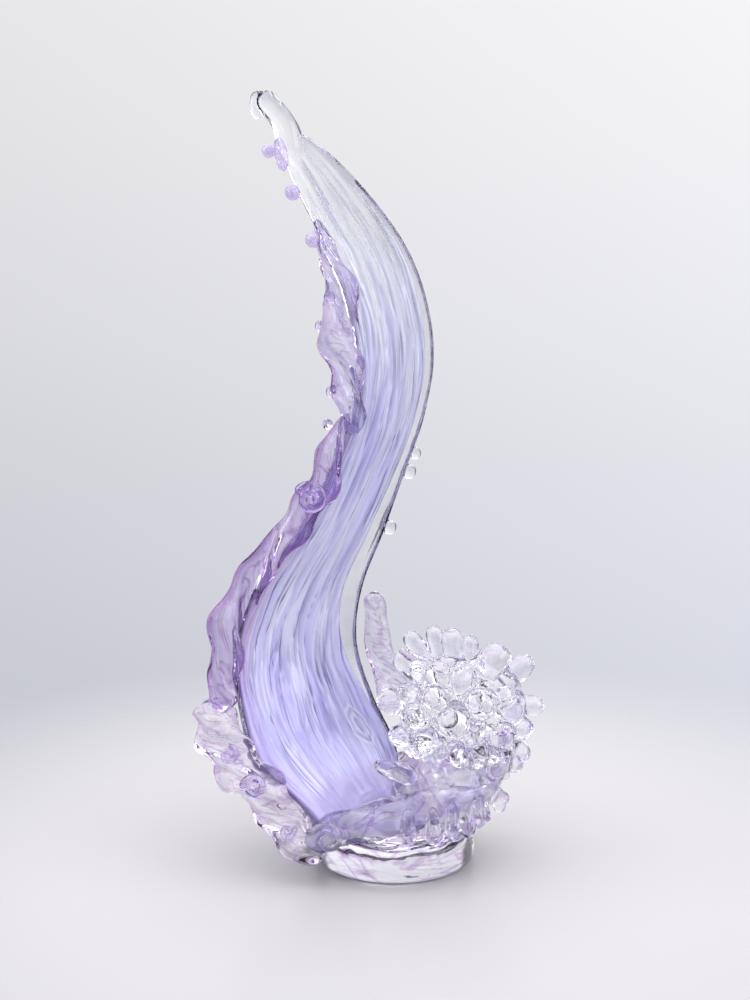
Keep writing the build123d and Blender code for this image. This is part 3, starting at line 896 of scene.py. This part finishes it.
def make_world(settings):
    """Soft light all round: a wall, which is all that the camera sees, and a top, strips and flags."""
    world = bpy.data.worlds.new("studio")
    bpy.context.scene.world = world
    world.use_nodes = True
    world.node_tree.nodes.clear()
    net = Net(world.node_tree)
    way = net.add("ShaderNodeTexCoord").outputs["Generated"]
    x, y, z = net.add("ShaderNodeSeparateXYZ", {0: way}).outputs
    lowest, widest, x_slope, z_slope = -0.40, 0.30, 0.25, 0.36
    low_z = net.math("MAXIMUM", z, lowest)
    near_x = net.math("MINIMUM", net.math("MAXIMUM", x, -widest), widest)
    wall = net.times_plus(near_x, x_slope, net.times_plus(low_z, z_slope, settings.wall_level))
    top = net.times(soft_box(net, z, *TOP_MARKS), settings.top_level)
    strips = net.times(soft_patches(net, (x, y, z), STRIPS), settings.strip_level)
    light = net.plus(wall, net.plus(top, strips))
    shade = net.minus(1.0, net.times(soft_patches(net, (x, y, z), FLAGS), settings.flag_depth))
    seen = net.add("ShaderNodeLightPath").outputs["Is Camera Ray"]
    room = net.times(net.times(light, shade), net.minus(1.0, seen))
    strength = net.times_plus(wall, seen, room)
    colour = net.mixed(net.eased(z, -0.35, 0.15), settings.low_tint, settings.high_tint)
    back = net.add("ShaderNodeBackground", {"Color": colour, "Strength": strength}).outputs[0]
    net.add("ShaderNodeOutputWorld", {"Surface": back})


def length(name, description, default):
    """A property for a length, its default given in millimetres."""
    return FloatProperty(name=name, description=description, default=default * MM, unit="LENGTH")


def level(name, description, default, **limits):
    """A property for a number from nought up, unless its limits say other."""
    return FloatProperty(name=name, description=description, default=default, **{"min": 0, **limits})


def tint(name, description, *default):
    """A property for a colour."""
    looks = {"default": default, "subtype": "COLOR", "min": 0, "max": 1}
    return FloatVectorProperty(name=name, description=description, **looks)


class GLASSWAVE_shapes(bpy.types.PropertyGroup):
    """Sizes of the wave's relief, trails and spray."""

    fold_depth: length("Fold Depth", "Depth of the broad folds down the core", 2.2)
    flute_depth: length("Flute Depth", "Depth of the sharp flutes down the core", 1.6)
    flutes_across: level("Flutes Across", "How closely the flutes lie across half of the core", 9.0, min=1)
    casing_front: length("Casing Front", "How far the core stands out of the casing's front", 4.0)
    strand_depth: length("Strand Depth", "Depth of the strands in the clear casing", 3.0)
    lump_height: length("Lump Height", "Height of the soft lumps on the trails", 1.0)
    drop_radius: length("Drop Radius", "Radius of the drops laid on the spray's mound", 8.5)
    drop_spacing: length("Drop Spacing", "Least distance between drops on the mound", 19.0)
    drop_seed: IntProperty(name="Drop Seed", description="Places the drops on the mound", default=7, min=0)


class GLASSWAVE_tints(bpy.types.PropertyGroup):
    """Colours of the glass."""

    clear: tint("Clear", "Clear glass", 0.97, 0.97, 0.99)
    foot: tint("Foot", "Clear glass of the foot", 0.94, 0.93, 0.98)
    rim: tint("Rim", "Clear glass of the foam rim, the fin and the scroll", 0.94, 0.92, 0.98)
    heart: tint("Heart", "Milky glass inside the lip and the swell", 0.95, 0.94, 1.0)
    pale_cloud: tint("Pale Cloud", "Pale lavender clouds in clear glass", 0.84, 0.80, 0.97)
    pale_violet: tint("Pale Violet", "Body of the frill and of the crest's beads", 0.78, 0.70, 0.94)
    violet: tint("Violet", "Violet glass of beads and ribbons", 0.70, 0.62, 0.93)
    violet_vein: tint("Violet Vein", "Purple veins and hems", 0.48, 0.27, 0.62)
    core_deep: tint("Core Deep", "Deeper bands of the core", 0.50, 0.48, 0.93)
    # Core Pale also paints light on the crests of the broad folds.
    core_pale: tint("Core Pale", "Paler bands of the core", 0.80, 0.80, 1.0)
    # Core Line paints shade in the flute valleys and dark refraction dashes, and the dark rings of the swirl.
    core_line: tint("Core Line", "Dark dashes in the core's flutes", 0.17, 0.14, 0.32)
    scoop: tint("Scoop", "Smooth floor of the core's scoop", 0.52, 0.46, 0.77)
    crest: tint("Crest", "Pale end of the core at the crest", 0.92, 0.94, 1.0)
    ring: tint("Ring", "Pale rings of the swirl on the core", 0.97, 0.97, 1.0)


class GLASSWAVE_studio(bpy.types.PropertyGroup):
    """Light and floor of the stage."""

    wall_level: level("Wall Level", "Light of the pale wall", 0.81)
    top_level: level("Top Level", "Light from above", 2.0)
    strip_level: level("Strip Level", "Light of the two strips", 3.0)
    flag_depth: level("Flag Depth", "How dark the flags are", 0.75, max=1)
    low_tint: tint("Low Tint", "Colour of the light from below", 0.885, 0.90, 1.0)
    high_tint: tint("High Tint", "Colour of the light from above", 0.97, 0.97, 1.0)
    floor_tint: tint("Floor Tint", "Colour of the floor", 0.395, 0.385, 0.392)


class GLASSWAVE_OT_stage(bpy.types.Operator):
    """Set up the pale floor, the soft light and the camera"""

    bl_idname = "glass_wave.stage"
    bl_label = "Stage"

    def execute(self, context):
        settings = context.scene.glass_wave_studio
        shape = bmesh.new()
        bmesh.ops.create_circle(shape, cap_ends=True, radius=1.6, segments=128)
        floor = closed("studio_floor", shape)
        material = bpy.data.materials.new("pale_floor")
        material.use_nodes = True
        net = Net(material.node_tree)
        shader = material.node_tree.nodes["Principled BSDF"]
        shader.inputs["Base Color"].default_value = (*settings.floor_tint, 1)
        shader.inputs["Roughness"].default_value = 0.30
        solid_within, clear_beyond = 0.20, 0.62
        reach = net.length(net.add("ShaderNodeTexCoord").outputs["Object"])
        net.set(shader.inputs["Alpha"], net.eased(reach, solid_within, clear_beyond, 1.0, 0.0))
        floor.data.materials.append(material)
        floor.location.z = -0.4 * MM
        camera = placed("camera", bpy.data.cameras.new("camera"))
        camera.data.lens = 50
        camera.data.sensor_width = 36
        camera.location = (-0.0143, -0.999, 0.403)
        camera.rotation_euler = (radians(90 - 7.7), 0, 0)
        context.scene.camera = camera
        make_world(settings)
        context.scene.view_settings.view_transform = "Standard"
        for key in ("max_bounces", "transmission_bounces", "transparent_max_bounces"):
            setattr(context.scene.cycles, key, 24)
        return {"FINISHED"}


class GLASSWAVE_OT_casing(bpy.types.Operator):
    """Make the clear casing with its strands and its drawn tip"""

    bl_idname = "glass_wave.casing"
    bl_label = "Clear Casing"

    def execute(self, context):
        shapes = context.scene.glass_wave_shapes
        blunt, least = 2.4, 0.04

        def reach(height, half_width, half_thickness):
            proud = read_rows(CORE_SHARES, height)[2]
            near = min(1.0, max(0.0, (height - CREST_START) / CREST_LENGTH))
            end = max((1 - near**blunt) ** 0.5, least)
            return -end, end, (half_thickness - shapes.casing_front * proud) * end, half_thickness * end

        casing = lofted("casing_body", WAVE_TOP, 420, 168, reach)
        shaped_by(
            casing, flowing_flutes, fold_depth=shapes.strand_depth, folds_across=5.0,
            flute_depth=1.8 * MM, flutes_across=7.0, material=glass("clear_wave_glass"), **FLUTES,
        )
        rod = swept("tip_rod", TIP_ROWS, rope(lobes=3, share=0.05, turns=1.0), cap=0.17)
        hook = swept("tip_hook", HOOK_ROWS, round_rod, rings=60, sides=24, cap=0.16)
        casing = fused(joined("wave_casing", casing, rod, hook), 1.25, 2, "clear_wave_glass")
        finished(casing, "clear_glass", "clear_casing", "crest_tip")
        return {"FINISHED"}


class GLASSWAVE_OT_core(bpy.types.Operator):
    """Make the fluted violet core"""

    bl_idname = "glass_wave.core"
    bl_label = "Violet Core"

    def execute(self, context):
        shapes = context.scene.glass_wave_shapes

        def reach(height, half_width, half_thickness):
            left, right, proud = read_rows(CORE_SHARES, height)
            left = -1 + left * CORE_MARGIN * MM / half_width
            right = 1 - right * CORE_MARGIN * MM / half_width
            end = min(1.0, max(0.0, (CORE_TOP - height) / CORE_TAPER)) ** 0.6
            middle, half = (left + right) / 2, (right - left) / 2 * end
            front = half_thickness - CORE_SINK * (1 - proud)
            back = front * CORE_BACK_SHARE
            return middle - half, middle + half, max(front * end, CORE_LEAST), max(back * end, CORE_LEAST)

        core = lofted("fluted_core", CORE_TOP, 410, 180, reach)
        shaped_by(
            core, flowing_flutes, fold_depth=shapes.fold_depth, folds_across=4.0, material=core_glass(),
            flute_depth=shapes.flute_depth, flutes_across=shapes.flutes_across, **FLUTES,
        )
        finished(core, "violet_glass", "violet_core")
        return {"FINISHED"}


class GLASSWAVE_OT_beads(bpy.types.Operator):
    """Melt the beads and the streak at the crest, and the beads along both edges"""

    bl_idname = "glass_wave.beads"
    bl_label = "Beads"

    def execute(self, context):
        streak = swept("crest_streak", STREAK_ROWS, rope(3, 0.1, 1.0), rings=60, sides=24, cap=0.2)
        beads = joined("crest_beads_glass", cad_copy("crest_drops", "crest_beads"), streak)
        finished(fused(beads, BEAD_VOXEL, 2, "crest_bead_glass"), "violet_glass", "crest_beads")
        for node, material, slot in (
            ("left_beads", "violet_bead_glass", "violet_glass"),
            ("right_beads", "clear_wave_glass", "clear_glass"),
        ):
            finished(fused(cad_copy(node + "_glass", node), BEAD_VOXEL, 2, material), slot, node)
        return {"FINISHED"}


class GLASSWAVE_OT_shoulder(bpy.types.Operator):
    """Lay the pale fold on the shoulder"""

    bl_idname = "glass_wave.shoulder"
    bl_label = "Shoulder Fold"

    def execute(self, context):
        shapes = context.scene.glass_wave_shapes
        fold = trail(
            "shoulder_fold", SHOULDER_ROWS, (3.0, 0.95, 2.2, 5.0), "shoulder_glass", rings=220,
            lump_height=0.8 * shapes.lump_height, lumps_per_metre=50.0, crease_depth=0.2 * MM, seed=5.0,
        )
        finished(fold, "pale_glass", "shoulder_trail")
        return {"FINISHED"}


class GLASSWAVE_OT_frill(bpy.types.Operator):
    """Lay the violet frill and its loop down the left edge"""

    bl_idname = "glass_wave.frill"
    bl_label = "Violet Frill"

    def execute(self, context):
        shapes = context.scene.glass_wave_shapes
        frill = trail(
            "violet_frill_ribbon", FRILL_ROWS, (2.8, 1.0, 3.2, 7.0), "violet_hem_glass", rings=260,
            lump_height=0.5 * shapes.lump_height, lumps_per_metre=45.0, crease_depth=0.0, seed=2.0,
        )
        finished(frill, "violet_glass", "violet_frill")
        loop = fused(coil("frill_loop_glass", *FRILL_LOOP), BEAD_VOXEL, 3, "violet_hem_glass")
        finished(loop, "violet_glass", "frill_loop")
        return {"FINISHED"}


class GLASSWAVE_OT_foam(bpy.types.Operator):
    """Lay the scalloped foam rim and its scrolls round the low left side"""

    bl_idname = "glass_wave.foam"
    bl_label = "Foam Rim"

    def execute(self, context):
        shapes = context.scene.glass_wave_shapes
        rim = trail(
            "foam_rim_glass", FOAM_ROWS, (5.4, 0.6, 2.2, 4.6), "scalloped_rim_glass", rings=240,
            lump_height=2.6 * shapes.lump_height, lumps_per_metre=32.0, crease_depth=0.3 * MM, seed=7.0,
        )
        finished(rim, "pale_glass", "foam_rim")
        coils = [coil(f"foam_coil_{index}", *each) for index, each in enumerate(FOAM_COILS)]
        scrolls = fused(joined("foam_scrolls_glass", *coils), BEAD_VOXEL, 3, "violet_bead_glass")
        finished(scrolls, "violet_glass", "foam_scrolls")
        return {"FINISHED"}


class GLASSWAVE_OT_lip(bpy.types.Operator):
    """Lay the marbled lip with its swell, drops and scroll round the front"""

    bl_idname = "glass_wave.lip"
    bl_label = "Marbled Lip"

    def execute(self, context):
        shapes = context.scene.glass_wave_shapes
        roll = swept("lip_roll", LIP_ROWS, rope(lobes=3, share=0.14, turns=3.0))
        swell = cad_copy("lip_swell", "marbled_swell")
        shaped_by(
            swell, laid_drops, drop_radius=0.75 * shapes.drop_radius, drop_length=1.4,
            spacing=shapes.drop_spacing, seed=shapes.drop_seed + 3, material=glass("marbled_lip_glass"),
        )
        lip = fused(joined("marbled_lip_glass", roll, swell, cad_copy("lip_drops", "hanging_drops")), 1.1, 4)
        shaped_by(
            lip, soft_folds, lump_height=2.2 * shapes.lump_height, lumps_per_metre=38.0,
            crease_depth=0.5 * MM, seed=11.0, material=glass("marbled_lip_glass"),
        )
        finished(lip, "pale_glass", "front_lip", "marbled_swell", "hanging_drops")
        drops = []
        for index, place in enumerate(LIP_DROPS):
            rows = [tuple(a + b for a, b in zip((*place, 0, 0, 0), row)) for row in DROP_ROWS]
            drops.append(swept(f"hanging_drop_{index}", rows, round_rod, rings=40, sides=24, cap=0.25))
        rounded = rope(lobes=3, share=0.06, turns=1.0)
        finger = swept("lip_finger", FINGER_ROWS, rounded, rings=60, sides=28, cap=0.2)
        drops = fused(joined("lip_drops_glass", finger, *drops), 0.8, 4, "spray_glass")
        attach(drops, "root")
        scroll = fused(coil("front_scroll_glass", *FRONT_SCROLL), BEAD_VOXEL, 3, "scalloped_rim_glass")
        finished(scroll, "clear_glass", "front_scroll")
        return {"FINISHED"}


class GLASSWAVE_OT_heart(bpy.types.Operator):
    """Put the milky marbled heart inside the lip and the swell"""

    bl_idname = "glass_wave.heart"
    bl_label = "Milky Heart"

    def execute(self, context):
        back, share = 1, 0.66
        rows = [
            (x, y + back, z, share * width, share * depth, twist) for x, y, z, width, depth, twist in LIP_ROWS
        ]
        roll = swept("lip_heart", rows, rope(lobes=3, share=0.2, turns=3.0))
        swell = cad_copy("swell_heart", "marbled_swell")
        reshaped(swell, centre=(38, 0, 54), share=0.72)
        lip = fused(joined("milky_lip_heart", roll, swell), 1.4, 4)
        shaped_by(
            lip, soft_folds, lump_height=2.0 * MM, lumps_per_metre=40.0, crease_depth=0.8 * MM, seed=23.0,
            material=glass("marbled_heart_glass"),
        )
        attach(lip, "root")
        return {"FINISHED"}


class GLASSWAVE_OT_fin(bpy.types.Operator):
    """Lay the lobed fin behind the right edge"""

    bl_idname = "glass_wave.fin"
    bl_label = "Rear Fin"

    def execute(self, context):
        fin = trail(
            "rear_fin_glass", FIN_ROWS, (4.5, 0.45, 1.0, 2.0), "scalloped_rim_glass", sides=44, cap=0.08,
            lump_height=1.0 * MM, lumps_per_metre=32.0, crease_depth=0.3 * MM, seed=13.0,
        )
        finished(fin, "pale_glass", "rear_fin")
        return {"FINISHED"}


class GLASSWAVE_OT_spray(bpy.types.Operator):
    """Melt the spray's mound, prongs and laid drops into one cluster"""

    bl_idname = "glass_wave.spray"
    bl_label = "Spray"

    def execute(self, context):
        shapes = context.scene.glass_wave_shapes
        mound = cad_copy("spray_drops", "spray_mound")
        shaped_by(
            mound, laid_drops, drop_radius=shapes.drop_radius, drop_length=1.7,
            spacing=shapes.drop_spacing, seed=shapes.drop_seed, material=glass("clear_wave_glass"),
        )
        prongs = [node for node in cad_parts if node.startswith("spray")]
        spray = fused(joined("spray_glass", mound, cad_copy("spray_prongs", *prongs)), 1.1, 5)
        shaped_by(
            spray, soft_folds, lump_height=1.2 * MM, lumps_per_metre=48.0, crease_depth=0.0, swell=0.3 * MM,
            seed=17.0, material=glass("spray_glass"),
        )
        thicker, radius = 3.0, 62
        reshaped(spray, centre=(50, 0, 106), share=1 - thicker / radius, swell=thicker)
        finished(fused(spray, 1.1, 3, "spray_glass"), "clear_glass", *prongs)
        return {"FINISHED"}


class GLASSWAVE_OT_foot(bpy.types.Operator):
    """Melt the clear foot and the gather over it"""

    bl_idname = "glass_wave.foot"
    bl_label = "Foot"

    def execute(self, context):
        foot = fused(cad_copy("foot_glass", "foot", "base_gather"), 1.6, 6, "foot_glass")
        finished(foot, "clear_glass", "foot", "base_gather")
        return {"FINISHED"}


STEPS = (
    GLASSWAVE_OT_stage, GLASSWAVE_OT_casing, GLASSWAVE_OT_core, GLASSWAVE_OT_beads, GLASSWAVE_OT_shoulder,
    GLASSWAVE_OT_frill, GLASSWAVE_OT_foam, GLASSWAVE_OT_lip, GLASSWAVE_OT_heart, GLASSWAVE_OT_fin,
    GLASSWAVE_OT_spray, GLASSWAVE_OT_foot,
)
SETTINGS = {
    "glass_wave_shapes": GLASSWAVE_shapes,
    "glass_wave_tints": GLASSWAVE_tints,
    "glass_wave_studio": GLASSWAVE_studio,
}


class GLASSWAVE_PT_panel(bpy.types.Panel):
    """Lists the sizes, the colours and the pieces of the glass wave"""

    bl_idname = "GLASSWAVE_PT_panel"
    bl_label = "Glass Wave"
    bl_space_type = "VIEW_3D"
    bl_region_type = "UI"
    bl_category = "Glass Wave"

    def draw(self, context):
        for name in SETTINGS:
            group = getattr(context.scene, name)
            box = self.layout.box()
            for key in group.__annotations__:
                box.prop(group, key)
        for step in STEPS:
            self.layout.operator(step.bl_idname)


def register():
    for part in (*SETTINGS.values(), *STEPS, GLASSWAVE_PT_panel):
        bpy.utils.register_class(part)
    for name, group in SETTINGS.items():
        setattr(bpy.types.Scene, name, PointerProperty(type=group))


def unregister():
    for name in SETTINGS:
        delattr(bpy.types.Scene, name)
    for part in reversed((*SETTINGS.values(), *STEPS, GLASSWAVE_PT_panel)):
        bpy.utils.unregister_class(part)


def main():
    register()
    for step in STEPS:
        group, name = step.bl_idname.split(".")
        getattr(getattr(bpy.ops, group), name)()


if __name__ == "__main__":
    main()
